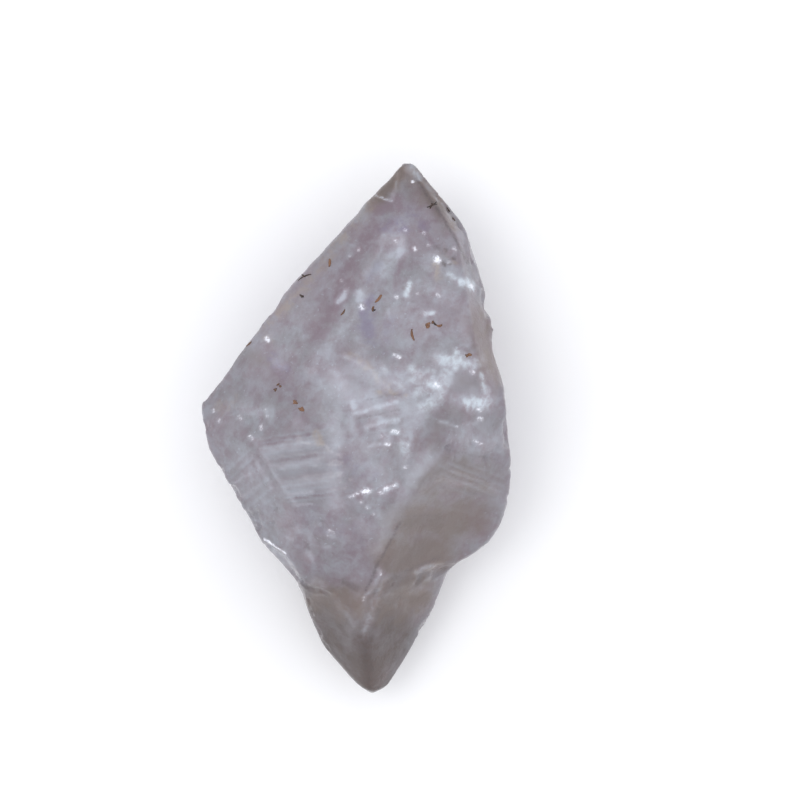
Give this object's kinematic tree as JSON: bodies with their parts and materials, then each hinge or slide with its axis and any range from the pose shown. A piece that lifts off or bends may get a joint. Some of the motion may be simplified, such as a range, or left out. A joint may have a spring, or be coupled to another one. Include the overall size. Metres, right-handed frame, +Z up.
{
  "type": "rough amethyst point",
  "caption": "Single pale milky amethyst crystal with a pointed head, growth steps, chipped edges and a broken tapering root, lying on its flattest side.",
  "frame": {"origin": "under the middle of the stone, on the surface that it lies on", "axes": "+Y from the broken root to the tip, +X to the right of the side that shows best, +Z up from the surface that it lies on"},
  "size_m": [0.0342, 0.0598, 0.0202],
  "materials": {
    "amethyst": "satin"
  },
  "bodies": {
    "root": {"amethyst_point": "amethyst"}
  },
  "joints": []
}
